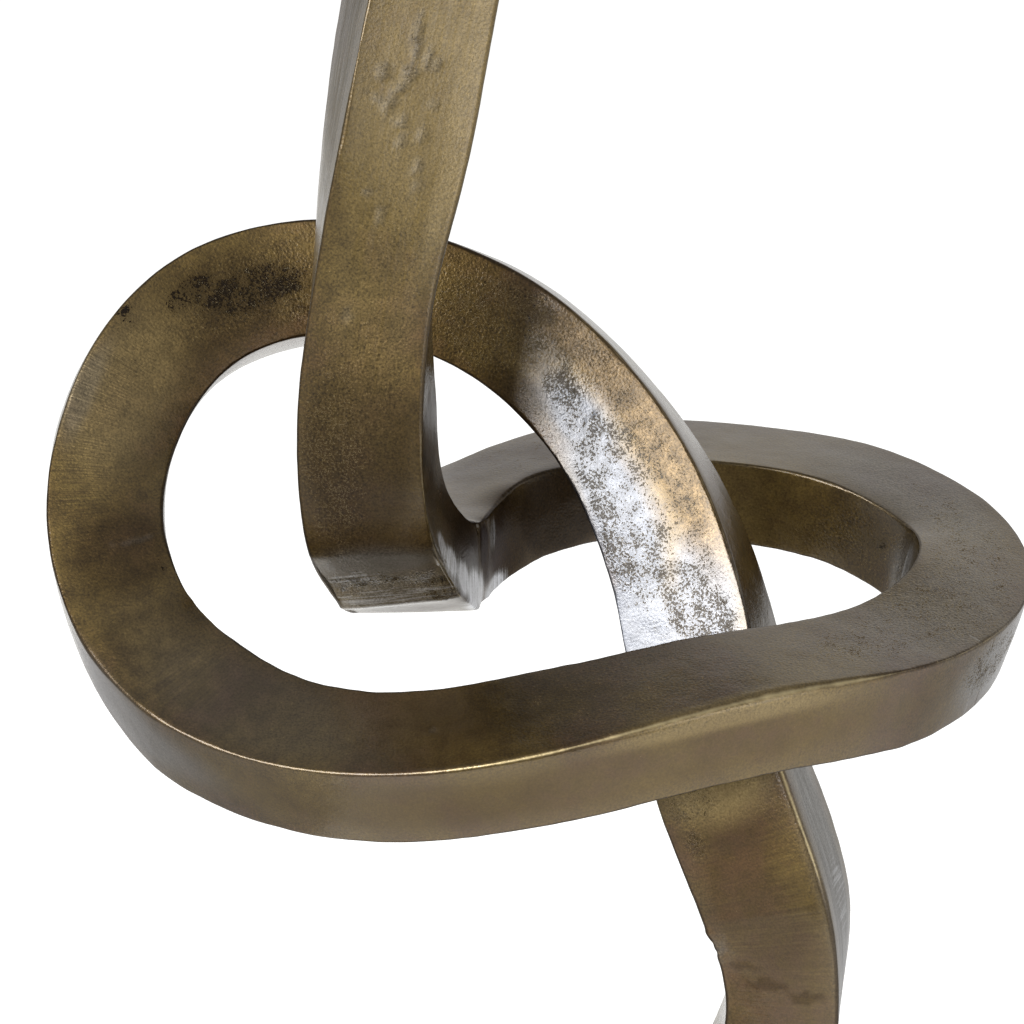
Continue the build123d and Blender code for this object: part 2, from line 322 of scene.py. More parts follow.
class KnotFinishColours(bpy.types.PropertyGroup):
    """Colours of the finishes, written as sRGB hex values."""

    patina: bpy.props.FloatVectorProperty(
        name="Brass lacquer", description="Aged brass colour over most of the band",
        subtype="COLOR", size=4, min=0.0, max=1.0, default=linear("#4e3d1d"))
    patina_light: bpy.props.FloatVectorProperty(
        name="Light brass", description="Thinner colour where more brass shows",
        subtype="COLOR", size=4, min=0.0, max=1.0, default=linear("#68562b"))
    patina_red: bpy.props.FloatVectorProperty(
        name="Red brown", description="Redder brown that drifts through the brass colour",
        subtype="COLOR", size=4, min=0.0, max=1.0, default=linear("#51392a"))
    # Painted shade: this brown darkens the broad marks that stand for shade and dark reflections, and the patina in
    # dents
    shade_and_patina_brown: bpy.props.FloatVectorProperty(
        name="Deep brown", description="Thicker brown colour in broad areas",
        subtype="COLOR", size=4, min=0.0, max=1.0, default=linear("#2c200f"))
    patina_dark: bpy.props.FloatVectorProperty(
        name="Dark patina", description="Nearly black patina in speckled patches",
        subtype="COLOR", size=4, min=0.0, max=1.0, default=linear("#1a130b"))
    # Painted light: partly brass rubbed thin, partly lighter brass where the light falls
    rubbed_and_lit: bpy.props.FloatVectorProperty(
        name="Rubbed brass", description="Brass colour rubbed thin",
        subtype="COLOR", size=4, min=0.0, max=1.0, default=linear("#7d6b44"))
    # Painted reflection: partly grey metal, partly the grey that the white room gives at a grazing view
    grey: bpy.props.FloatVectorProperty(
        name="Grey metal", description="Metal rubbed until little brass colour is left",
        subtype="COLOR", size=4, min=0.0, max=1.0, default=linear("#74726e"))
    # Painted highlight: cool grey under the soft light's reflection on the crown
    highlight_grey: bpy.props.FloatVectorProperty(
        name="Clear grey", description="Cool grey metal that shows under the clear coat",
        subtype="COLOR", size=4, min=0.0, max=1.0, default=linear("#4b4f57"))
    # Painted highlight: this pale colour is partly worn metal and partly the glints on the edges and round the pits
    worn_edge_and_glint: bpy.props.FloatVectorProperty(
        name="Worn edge", description="Bright metal along the worn edges",
        subtype="COLOR", size=4, min=0.0, max=1.0, default=linear("#bfae84"))
    pit: bpy.props.FloatVectorProperty(
        name="Pits", description="Brown colour held in the casting pits",
        subtype="COLOR", size=4, min=0.0, max=1.0, default=linear("#42351f"))
    # Painted sheen: the tan glow along the edge of the soft light's reflection on the crown
    gold: bpy.props.FloatVectorProperty(
        name="Open brass", description="Warm brass colour where the clear coat is worn off",
        subtype="COLOR", size=4, min=0.0, max=1.0, default=linear("#574832"))
    silver: bpy.props.FloatVectorProperty(
        name="Weld metal", description="Bare pale metal of a dressed weld",
        subtype="COLOR", size=4, min=0.0, max=1.0, default=linear("#eceef2"))
    steel: bpy.props.FloatVectorProperty(
        name="Steel", description="Zinc plated steel of pins, screws and washers",
        subtype="COLOR", size=4, min=0.0, max=1.0, default=linear("#a9adb0"))
    felt: bpy.props.FloatVectorProperty(
        name="Felt", description="Wool felt under the base",
        subtype="COLOR", size=4, min=0.0, max=1.0, default=linear("#2a2926"))
    floor: bpy.props.FloatVectorProperty(
        name="Floor", description="Pale paper floor of the studio",
        subtype="COLOR", size=4, min=0.0, max=1.0, default=linear("#f2f2f0"))


class KnotStageSizes(bpy.types.PropertyGroup):
    """Camera and light of the studio."""

    camera_distance: bpy.props.FloatProperty(
        name="Camera distance", description="From the camera to the middle of the knot",
        default=1.1, min=0.5, max=4.0, unit="LENGTH")
    camera_height: bpy.props.FloatProperty(
        name="Camera height angle", description="Angle of the camera above the level",
        default=math.radians(15), min=0.0, max=1.2, subtype="ANGLE")
    key_power: bpy.props.FloatProperty(
        name="Key light", description="Power of the large soft light at the front left",
        default=48.0, min=0.0, max=200.0, unit="POWER")
    room_grey: bpy.props.FloatProperty(
        name="Room grey", description="How bright the dim room above and in front is in reflections",
        default=0.4, min=0.0, max=1.0, subtype="FACTOR")


def set_inputs(node, values):
    """Fill or link the inputs of a node."""
    for key, value in values.items():
        if isinstance(value, bpy.types.NodeSocket):
            node.id_data.links.new(value, node.inputs[key])
        else:
            node.inputs[key].default_value = value


def add_node(tree, kind, settings=None, inputs=None, output=0):
    """Add one shader node with its settings and inputs, and give one of its outputs."""
    made = tree.nodes.new(kind)
    for key, value in (settings or {}).items():
        setattr(made, key, value)
    set_inputs(made, inputs or {})
    return made.outputs[output] if made.outputs else None


def new_material(name):
    """An empty material, its node tree and its shader."""
    material = bpy.data.materials.new(name)
    material.use_nodes = True
    tree = material.node_tree
    tree.nodes.clear()
    surface = add_node(tree, "ShaderNodeBsdfPrincipled")
    add_node(tree, "ShaderNodeOutputMaterial", inputs={"Surface": surface})
    return material, tree, surface.node


def per_metre(millimetres):
    """Pattern scale for features of a real size in millimetres."""
    return 1000.0 / millimetres


def spline_values(knots, values, at):
    """Cubic spline through the knots, with parabola slopes at both ends."""
    values = np.asarray(values, float).reshape(len(knots), -1)
    gaps = np.diff(knots)
    rises = np.diff(values, axis=0) / gaps[:, None]
    matrix = np.eye(len(knots))
    right = np.empty_like(values)
    for row in range(1, len(knots) - 1):
        matrix[row, row - 1:row + 2] = gaps[row], 2 * (gaps[row - 1] + gaps[row]), gaps[row - 1]
        right[row] = 3 * (gaps[row] * rises[row - 1] + gaps[row - 1] * rises[row])
    right[0] = rises[0] + (rises[0] - rises[1]) * gaps[0] / (gaps[0] + gaps[1])
    right[-1] = rises[-1] + (rises[-1] - rises[-2]) * gaps[-1] / (gaps[-1] + gaps[-2])
    slopes = np.linalg.solve(matrix, right)
    span = np.clip(np.searchsorted(knots, at, side="right") - 1, 0, len(gaps) - 1)
    share = ((at - knots[span]) / gaps[span])[:, None]
    gap = gaps[span][:, None]
    low, high = values[span], values[span + 1]
    return (
        low * (1 + 2 * share) * (1 - share) ** 2 + high * share ** 2 * (3 - 2 * share)
        + slopes[span] * gap * share * (1 - share) ** 2 - slopes[span + 1] * gap * share ** 2 * (1 - share)
    )


class BandLine:
    """The centre line of the band in metres, with its wide face direction and width."""

    def __init__(self):
        rows = np.array(STATIONS, float)
        points = rows[:, :3] / 1000 + [0, 0, BASE_TOP]
        turn, lean = np.radians(rows[:, 3]), np.radians(rows[:, 4])
        faces = np.stack([np.sin(lean), -np.cos(lean) * np.cos(turn), -np.cos(lean) * np.sin(turn)], 1)
        knots = np.concatenate([[0], np.cumsum(np.linalg.norm(np.diff(points, axis=0), axis=1))])
        at = np.linspace(0, knots[-1], LINE_SAMPLES)
        centre = spline_values(knots, points, at)
        self.length = np.concatenate([[0], np.cumsum(np.linalg.norm(np.diff(centre, axis=0), axis=1))])
        along = np.gradient(centre, self.length, axis=0)
        along /= np.linalg.norm(along, axis=1)[:, None]
        face = spline_values(knots, faces, at)
        face -= (face * along).sum(1)[:, None] * along
        face /= np.linalg.norm(face, axis=1)[:, None]
        width = spline_values(knots, rows[:, 5] / 1000, at)
        self.table = np.hstack([centre, face, np.cross(along, face), width])
        self.stops = np.interp(knots, at, self.length)

    def distance(self, place):
        """Distance along the band at a place between stations."""
        return float(np.interp(place, np.arange(len(self.stops)), self.stops))

    def frames(self, distance):
        """Centre, wide face direction, side direction and width at distances along the band."""
        found = np.stack([np.interp(distance, self.length, column) for column in self.table.T], -1)
        return found[..., :3], found[..., 3:6], found[..., 6:9], found[..., 9]


class BandSection:
    """Points round the band's section, from the middle of the front face towards the outer side."""

    corners = ((1, 1), (-1, 1), (-1, -1), (1, -1))

    def __init__(self, thickness, width, radius, step):
        wide = max(8, 2 * round((width - 2 * radius) / step / 2))
        narrow = max(6, round((thickness - 2 * radius) / step))
        # Each row has the side of the section that it is on, the way out of it, and its face or its two faces
        rows = []
        half = np.linspace(0, 1, wide // 2 + 1)[:-1]
        full_wide = np.linspace(-1, 1, wide + 1)[:-1]
        full_narrow = np.linspace(-1, 1, narrow + 1)[:-1]
        arc = np.linspace(0, math.pi / 2, ARC_POINTS)[:-1]
        rows += [(1, value, 1, 0, "front") for value in half]
        rows += [(1, 1, math.cos(angle), math.sin(angle), "front outer") for angle in arc]
        rows += [(-value, 1, 0, 1, "outer") for value in full_narrow]
        rows += [(-1, 1, -math.sin(angle), math.cos(angle), "outer back") for angle in arc]
        rows += [(-1, -value, -1, 0, "back") for value in full_wide]
        rows += [(-1, -1, -math.cos(angle), -math.sin(angle), "back inner") for angle in arc]
        rows += [(value, -1, 0, -1, "inner") for value in full_narrow]
        rows += [(1, -1, math.sin(angle), -math.cos(angle), "inner front") for angle in arc]
        rows += [(1, value - 1, 1, 0, "front") for value in half]
        self.side = np.array([row[:2] for row in rows], float)
        self.out = np.array([row[2:4] for row in rows], float)
        self.zone = [row[4] for row in rows]
        self.count = len(rows)
        self.flat = np.array([" " not in zone for zone in self.zone])
        self.weights = np.array([
            (1 + face * self.side[:, 0]) * (1 + edge * self.side[:, 1]) / 4 for face, edge in self.corners
        ])

    def across(self, thickness, width):
        """Distance round the section from the middle of the front face."""
        flat = np.stack([self.side[:, 0] * thickness / 2, self.side[:, 1] * width / 2], 1)
        flat += self.out * MAP_CORNER
        steps = np.linalg.norm(np.diff(np.vstack([flat, flat[:1]]), axis=0), axis=1)
        return np.concatenate([[0], np.cumsum(steps)])


def noise_at(points, size, seed):
    """Smooth noise at points, with features of a size in metres."""
    shifted = points / size + seed
    return np.array([noise.noise(Vector(point)) for point in shifted])


def smooth_fall(distance):
    """1 at no distance, falling smoothly to 0 at a distance of 1."""
    near = np.clip(1 - distance, 0, 1)
    return near * near * (3 - 2 * near)


class BandSkin:
    """The finished surface of the whole band, from which every casting and weld takes its part."""

    kinds = (
        "pitted", "dark", "thick_patina_and_shade", "rubbed_and_lit", "grey", "highlight_grey", "gold", "silver", "thin", "ground", "drawn", "smooth",
        "edge",
    )
    # Quarter of the way round where each face has its middle, and the sign of its across direction
    quarters = {"front": (0, 1), "outer": (1, -1), "back": (2, -1), "inner": (3, 1)}

    def __init__(self, sizes):
        self.sizes = sizes
        self.line = BandLine()
        self.section = BandSection(sizes.thickness, MEAN_WIDTH, sizes.edge_radius, sizes.mesh_step)
        self.round = self.section.across(sizes.thickness, MEAN_WIDTH)
        steps = np.linspace(0, self.line.length[-1], EDGE_SAMPLES)
        self.steps = steps
        self.radii = []
        row = np.stack([steps, steps * 0, steps * 0], 1)
        for corner in range(4):
            wave = sum(share * noise_at(row, size, seed + corner * step) for share, size, seed, step in EDGE_WAVES)
            self.radii.append(sizes.edge_radius * np.clip(1 + EDGE_CHANGE * wave, *EDGE_LIMITS))
        for corner, place, reach, share in ROUNDED_EDGES:
            near = smooth_fall(np.abs(steps - self.line.distance(place)) / (reach / 1000))
            self.radii[corner] = self.radii[corner] * (1 - near) + near * share * sizes.edge_radius

    def face_centre(self, face):
        """Distance round the section at the middle of a face, and the sign of its across direction."""
        quarter, sign = self.quarters[face]
        return quarter / 4 * self.round[-1], sign

    def ragged(self, distance):
        """Unevenness of the rim of a small mark at each point of the surface."""
        spots = np.stack([distance, np.broadcast_to(self.round[:-1], distance.shape), 0 * distance], -1)
        return RIM_SHARE * noise_at(spots.reshape(-1, 3), RIM_SIZE, 6.1).reshape(distance.shape)

    def spread(self, face, place, across, length, width, distance, ragged=0.0):
        """How strongly a mark of a size reaches each point of the surface."""
        centre, sign = self.face_centre(face)
        total = self.round[-1]
        aside = self.round[None, :-1] - centre - sign * across / 1000
        aside = np.abs((aside + total / 2) % total - total / 2)
        along = np.abs(distance - self.line.distance(place))
        return smooth_fall(np.hypot(along / (length / 1000), aside / (width / 1000)) + ragged)

    def surface(self, distance):
        """Points of the plain section at distances along the band, and the way out from each."""
        section, sizes = self.section, self.sizes
        centre, face, side, width = self.line.frames(distance)
        radius = np.zeros_like(distance)
        for corner in range(4):
            radius += section.weights[corner] * np.interp(distance, self.steps, self.radii[corner])
        through = section.side[:, 0] * (sizes.thickness / 2 - radius) + section.out[:, 0] * radius
        over = section.side[:, 1] * (width / 2 - radius) + section.out[:, 1] * radius
        points = centre + face * through[..., None] + side * over[..., None]
        outward = face * section.out[:, 0, None] + side * section.out[:, 1, None]
        return points, outward

    def relief(self, distance, points):
        """How far the surface stands out from the plain section."""
        section, sizes = self.section, self.sizes
        flat = points.reshape(-1, 3)
        height = sum(share * sizes.waviness * noise_at(flat, size, seed) for share, size, seed in WAVES)
        height = height.reshape(distance.shape)
        middle = np.where(section.out[:, 0] != 0, section.side[:, 1], section.side[:, 0])
        height += np.where(section.flat, sizes.crown * (1 - middle ** 2), 0)
        ragged = self.ragged(distance)
        for face, rows in DENTS.items():
            for place, across, length, width, depth in rows:
                height -= depth / 1000 * self.spread(face, place, across, length, width, distance, ragged)
        for name, place, slope, reach in FLATS:
            along = np.abs(distance - self.line.distance(place)) * 1000
            share = self.spread(name, place, 0, 4 * reach, FLAT_WIDTH, distance)
            height += slope / 1000 * np.clip(reach - along, 0, None) * np.clip(share * 2, 0, 1)
        for name, start, end in FACETS:
            start, end = self.line.distance(start), self.line.distance(end)
            low, high = (self.surface(np.full((1, section.count), at))[0] for at in (start, end))
            share = np.clip((distance - start) / (end - start), 0, 1)[..., None]
            outward = self.surface(distance)[1]
            drop = ((low + (high - low) * share - points) * outward).sum(-1)
            inside = (share[..., 0] > 0) & (share[..., 0] < 1) & np.array([name in zone for zone in section.zone])
            height += np.where(inside, drop, 0)
        wander = 3 * noise_at(flat, 0.02, 5.5).reshape(distance.shape)
        height += CHATTER_RISE * self.spread(*CHATTER, distance) * np.sin(distance / CHATTER_STEP + wander)
        return height

    def marks(self, distance):
        """Strength of each kind of mark at the points of the surface."""
        found = {kind: np.zeros(distance.shape) for kind in self.kinds}
        ragged = self.ragged(distance)
        for (kind, face), rows in MARKS.items():
            for place, across, length, width, strength in rows:
                rim = ragged if length < SMALL_MARK else 0.0
                reach = self.spread(face, place, across, length, width, distance, rim)
                found[kind] = np.maximum(found[kind], strength * np.clip(MARK_FILL * reach, 0, 1))
        for face, rows in DENTS.items():
            for place, across, length, width, depth in rows:
                reach = self.spread(face, place, across, DENT_HALO * length, DENT_HALO * width, distance, ragged)
                for kind, share, most in DENT_MARKS:
                    strength = np.clip(share * depth, 0, most)
                    found[kind] = np.maximum(found[kind], strength * np.clip(MARK_FILL * reach, 0, 1))
        crest = np.minimum(np.abs(self.section.out[:, 0]), np.abs(self.section.out[:, 1]))
        worn_and_lit = np.zeros(distance.shape)
        for zone, start, end, strength in WORN_AND_LIT_EDGES:
            here = np.array([name == zone for name in self.section.zone])
            middle = (self.line.distance(start) + self.line.distance(end)) / 2
            reach = (self.line.distance(end) - self.line.distance(start)) / 2
            along = np.clip(EDGE_FADE * (1 - np.abs(distance - middle) / reach), 0, 1)
            worn_and_lit = np.maximum(worn_and_lit, strength * here * along)
        # Bright worn metal with a painted highlight on the crest of a worn edge, and painted shade, a dark
        # reflection, along the crests of the other edges
        found["edge"] = worn_and_lit * np.clip(3 * crest - 1.1, 0, 1)
        found["thick_patina_and_shade"] = np.maximum(found["thick_patina_and_shade"], (1 - worn_and_lit) * np.clip(2 * crest, 0, 0.8))
        return found

    def piece(self, name, distance, root_start=None, root_end=None, bevel=False, ring=False):
        """One closed mesh from rings at distances along the band, with its ends let into the joints."""
        sizes, section = self.sizes, self.section
        points, outward = self.surface(distance)
        points = points + outward * self.relief(distance, points)[..., None]
        grid, lengths = [points], [distance]
        for root, first in ((root_start, True), (root_end, False)):
            if root is None:
                continue
            at = np.full((1, section.count), root)
            _, face, side, _ = self.line.frames(at)
            inset = sizes.end_bevel if bevel and first else sizes.weld_depth
            to_corner = face * section.side[:, 0, None] + side * section.side[:, 1, None]
            place = 0 if first else len(grid)
            grid.insert(place, self.surface(at)[0] - inset * to_corner)
            lengths.insert(place, at)
        return self.mesh(name, np.concatenate(grid), np.concatenate(lengths), ring)

    def mesh(self, name, grid, lengths, ring):
        """A mesh object from a grid of points, closed at its ends or, for a ring, on itself."""
        rings, count = grid.shape[:2]
        index = np.arange(rings * count).reshape(rings, count)
        following = np.roll(index, -1, axis=1)
        if ring:
            lower, upper = index, np.roll(index, -1, axis=0)
            quads = np.stack([lower, following, np.roll(following, -1, axis=0), upper], -1)
        else:
            quads = np.stack([index[:-1], following[:-1], following[1:], index[1:]], -1)
        quads = quads.reshape(-1, 4)
        made = bpy.data.meshes.new(name)
        faces = quads.tolist()
        if not ring:
            faces += [index[0, ::-1].tolist(), index[-1].tolist()]
        made.from_pydata(grid.reshape(-1, 3).tolist(), [], faces)
        spots = np.stack([lengths, np.broadcast_to(self.round[:-1], lengths.shape)], -1).reshape(-1, 2)
        ends = np.array([loop.vertex_index for loop in made.loops])
        table = spots[ends]
        # The last faces round the section end at its full length, and not back at its start
        beside_seam = np.repeat((quads % count == count - 1).any(1), 4)
        table[:quads.size][beside_seam & (ends[:quads.size] % count == 0), 1] = self.round[-1]
        layer = made.uv_layers.new(name="band")
        layer.data.foreach_set("uv", table.astype(np.float32).ravel())
        for kind, values in self.marks(lengths).items():
            if not ring:
                values[[0, -1]] = 0  # the end faces are plain
            layer = made.attributes.new(kind, "FLOAT", "POINT")
            layer.data.foreach_set("value", values.astype(np.float32).ravel())
        made.shade_smooth()
        made.set_sharp_from_angle(angle=BAND_CREASE)
        made.update()
        piece = bpy.data.objects.new(name, made)
        bpy.context.scene.collection.objects.link(piece)
        return piece


def dress(piece, material, node):
    """Give a piece its material and its body, and hide the solid that it stands for."""
    piece.data.materials.clear()
    piece.data.materials.append(material)
    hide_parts(node)
    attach(piece, "root")


def finish_node(name, material):
    """Give a solid that stays in view its material."""
    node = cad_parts[name]
    for slot in node.material_slots:
        slot.material = material


def cast_brass_material(name, colours):
    """Sand cast metal in aged brass lacquer, ground by hand under a clear coat.

    The eye sees soft brown gold that goes grey at a grazing view, white lights in the clear coat broken by the
    cast grain, speckled dark patches, fine pits, lines across the band from the grinder, and bright worn edges.
    The colour also holds painted light and shade: painted shade and dark reflections, lighter brass where light
    falls, grey where the room reflects, cool grey and a tan sheen at the soft light's reflection, and painted glints.
    """
    material, tree, shader = new_material(name)
    place = add_node(tree, "ShaderNodeTexCoord", output="Object")
    band = add_node(tree, "ShaderNodeUVMap", {"uv_map": "band"})
    mark = {
        kind: add_node(tree, "ShaderNodeAttribute", {"attribute_name": kind}, output="Fac")
        for kind in BandSkin.kinds
    }

    # Slow clouds 40 mm across, mottling of 5 mm, pocks of 0.65 mm and cast grain of 0.8 mm
    clouds, mottle, pocks, grain = (
        add_node(tree, "ShaderNodeTexNoise", inputs={
            "Vector": place, "Scale": per_metre(size), "Detail": detail, "Roughness": rough})
        for size, detail, rough in ((40, 2.0, 0.55), (5, 3.0, 0.6), (0.65, 2.0, 0.6), (0.8, 1.0, 0.5))
    )

    # Streaks along the band 1.2 mm wide, and lines across it 0.7 mm apart, as coarse as the render can show
    swept = [
        add_node(tree, "ShaderNodeVectorMath", {"operation": "MULTIPLY"}, {
            0: band, 1: (per_metre(along), per_metre(across), 1.0)})
        for along, across in ((30, 1.2), (0.7, 20))
    ]
    streaks, lines = (
        add_node(tree, "ShaderNodeTexNoise", inputs={"Vector": spot, "Scale": 1.0, "Detail": 2.0, "Roughness": rough})
        for spot, rough in zip(swept, (0.6, 0.5))
    )
    level_lines, level_pocks, level_grain = (
        add_node(tree, "ShaderNodeMath", {"operation": "SUBTRACT"}, {0: pattern, 1: 0.5})
        for pattern in (lines, pocks, grain)
    )
    drawn_out, lines_cut = (
        add_node(tree, "ShaderNodeMath", {"operation": "MULTIPLY"}, {0: pattern, 1: amount})
        for pattern, amount in ((streaks, mark["drawn"]), (level_lines, mark["ground"]))
    )

    # Where each layer shows: its first pattern, the shares of others added to it, the values between which it
    # comes in, its most, and how it comes in
    layers = {
        "light": (clouds, ((mottle, 0.5), (drawn_out, 0.5), (lines_cut, 1.5)), 0.65, 1.1, 1.0, "LINEAR"),
        "red": (mottle, ((clouds, -1.5),), -0.3, 0.05, 0.5, "LINEAR"),
        "dark": (pocks, ((mark["dark"], 0.4), (mottle, 0.9)), 1.24, 1.40, 1.0, "SMOOTHSTEP"),
        "bare": (mark["silver"], ((lines, 2.0), (pocks, 0.6)), 1.6, 2.4, 1.0, "LINEAR"),
        "pits": (pocks, ((grain, 0.25), (mottle, 0.5), (mark["pitted"], 0.45)), 1.22, 1.26, 1.0, "SMOOTHSTEP"),
        # Worn edges, with their painted highlight
        "worn_and_lit": (mark["edge"], ((mottle, 0.8),), 0.7, 1.5, 1.0, "LINEAR"),
    }
    shown = {}
    for layer, (total, others, low, high, most, ramp) in layers.items():
        for pattern, share in others:
            total = add_node(tree, "ShaderNodeMath", {"operation": "MULTIPLY_ADD"}, {0: pattern, 1: share, 2: total})
        shown[layer] = add_node(tree, "ShaderNodeMapRange", {"interpolation_type": ramp}, {
            "Value": total, "From Min": low, "From Max": high, "To Max": most})
    pits = shown["pits"]
    bare, filled = (
        add_node(tree, "ShaderNodeMath", {"operation": "MULTIPLY"}, {0: pattern, 1: amount})
        for pattern, amount in ((shown["bare"], mark["silver"]), (pits, 0.7))
    )
    # Painted glints: a bright ring round each pit, in the pale worn edge colour
    pit_rim_glints = add_node(tree, "ShaderNodeMath", {"operation": "PINGPONG"}, {0: pits, 1: 0.5})

    # Fine light and dark of the cast grain, stronger where the band is marked as pitted
    coarse = 1.8
    for kind, share in (("pitted", 2.2), ("smooth", -1.2)):
        coarse = add_node(tree, "ShaderNodeMath", {"operation": "MULTIPLY_ADD"}, {0: mark[kind], 1: share, 2: coarse})
    fleck = add_node(tree, "ShaderNodeMath", {"operation": "MULTIPLY_ADD"}, {0: level_pocks, 1: coarse, 2: 1.0})

    # Brass colour in clouds and streaks with broad areas over it, among them painted shade, painted light, painted
    # reflection and painted highlight, then the flecks, and then patches, bare weld metal, pits with painted glints
    # on their rims, and worn edges with a painted highlight
    broad = (
        (shown["light"], colours.patina_light), (shown["red"], colours.patina_red),
        (mark["thick_patina_and_shade"], colours.shade_and_patina_brown), (mark["rubbed_and_lit"], colours.rubbed_and_lit), (mark["grey"], colours.grey),
        (mark["highlight_grey"], colours.highlight_grey), (mark["gold"], colours.gold),
    )
    fine = (
        (shown["dark"], colours.patina_dark), (bare, colours.silver), (filled, colours.pit),
        (pit_rim_glints, colours.worn_edge_and_glint), (shown["worn_and_lit"], colours.worn_edge_and_glint),
    )
    colour = colours.patina
    for coats in (broad, fine):
        for amount, shade in coats:
            colour = add_node(tree, "ShaderNodeMix", {"data_type": "RGBA"}, {
                0: amount, 6: colour, 7: shade}, output=2)
        if coats is broad:
            colour = add_node(tree, "ShaderNodeVectorMath", {"operation": "SCALE"}, {0: colour, "Scale": fleck})

    rough = add_node(tree, "ShaderNodeMapRange", inputs={
        "Value": mottle, "From Min": 0.3, "From Max": 0.7, "To Min": 0.38, "To Max": 0.52})
    rough = add_node(tree, "ShaderNodeMath", {"operation": "MULTIPLY_ADD", "use_clamp": True}, {
        0: pits, 1: 0.25, 2: rough})

    # Clear coat, open in pits, thin places, dark patches, the painted shade and the painted sheen of the open brass,
    # and broken by the streaks
    opened = add_node(tree, "ShaderNodeMath", {"operation": "MAXIMUM"}, {0: pits, 1: mark["gold"]})
    for pattern, share in ((mark["thin"], 0.6), (mark["thick_patina_and_shade"], 0.85), (shown["dark"], 0.8)):
        opened = add_node(tree, "ShaderNodeMath", {"operation": "MULTIPLY_ADD", "use_clamp": True}, {
            0: pattern, 1: share, 2: opened})
    whole, unbroken, relief = (
        add_node(tree, "ShaderNodeMapRange", inputs={
            "Value": pattern, "From Min": low, "From Max": high, "To Min": 1.0, "To Max": least})
        for pattern, low, high, least in (
            (opened, 0.0, 1.0, 0.25), (drawn_out, 0.3, 0.65, 0.45), (mark["smooth"], 0.0, 1.0, 0.3))
    )
    gloss = add_node(tree, "ShaderNodeMath", {"operation": "MULTIPLY"}, {0: whole, 1: unbroken})

    # Heights in millimetres, with the cast grain higher where the band is marked as pitted
    cast = add_node(tree, "ShaderNodeMath", {"operation": "MULTIPLY_ADD"}, {0: mark["pitted"], 1: 0.12, 2: 0.06})
    height = add_node(tree, "ShaderNodeMath", {"operation": "MULTIPLY"}, {0: level_grain, 1: cast})
    for pattern, rise in ((mottle, 0.05), (pocks, 0.04), (drawn_out, 0.05), (lines_cut, 0.12), (pits, -0.06)):
        height = add_node(tree, "ShaderNodeMath", {"operation": "MULTIPLY_ADD"}, {0: pattern, 1: rise, 2: height})
    bump = add_node(tree, "ShaderNodeBump", inputs={"Height": height, "Distance": 0.001, "Strength": relief})
    set_inputs(shader, {
        "Base Color": colour, "Metallic": 1.0, "Roughness": rough, "Specular Tint": linear("#adaaa5"),
        "Coat Weight": gloss, "Coat Roughness": 0.23, "Normal": bump, "Coat Normal": bump})
    return material


def steel_material(colours):
    """Turned steel with bright zinc plate.

    The eye sees a cool grey with fine turning lines that blur its reflections a little.
    """
    material, tree, shader = new_material("turned_zinc_plated_steel")
    place = add_node(tree, "ShaderNodeTexCoord", output="Object")
    turned = add_node(tree, "ShaderNodeVectorMath", {"operation": "MULTIPLY"}, {
        0: place, 1: (per_metre(8), per_metre(8), per_metre(0.5))})
    lines = add_node(tree, "ShaderNodeTexNoise", inputs={"Vector": turned, "Scale": 1.0, "Detail": 2.0})
    bloom = add_node(tree, "ShaderNodeTexNoise", inputs={"Vector": place, "Scale": per_metre(3), "Detail": 3.0})
    dull = [part * 0.7 for part in colours.steel[:3]] + [1.0]
    colour = add_node(tree, "ShaderNodeMix", {"data_type": "RGBA"}, {0: bloom, 6: dull, 7: colours.steel}, output=2)
    rough = add_node(tree, "ShaderNodeMapRange", inputs={"Value": lines, "To Min": 0.22, "To Max": 0.42})
    bump = add_node(tree, "ShaderNodeBump", inputs={"Height": lines, "Distance": 0.00003})
    set_inputs(shader, {"Base Color": colour, "Metallic": 1.0, "Roughness": rough, "Normal": bump})
    return material


def felt_material(colours):
    """Pressed wool felt.

    The eye sees a matt dark cloth with short fibres lying every way and a soft light rim.
    """
    material, tree, shader = new_material("pressed_wool_felt")
    place = add_node(tree, "ShaderNodeTexCoord", output="Object")
    fibres = add_node(tree, "ShaderNodeTexNoise", inputs={
        "Vector": place, "Scale": per_metre(0.8), "Detail": 5.0, "Roughness": 0.7, "Distortion": 1.2})
    pale = [part * 2.2 for part in colours.felt[:3]] + [1.0]
    colour = add_node(tree, "ShaderNodeMix", {"data_type": "RGBA"}, {0: fibres, 6: colours.felt, 7: pale}, output=2)
    bump = add_node(tree, "ShaderNodeBump", inputs={"Height": fibres, "Distance": 0.0004})
    set_inputs(shader, {"Base Color": colour, "Roughness": 0.95, "Sheen Weight": 0.4, "Normal": bump})
    return material


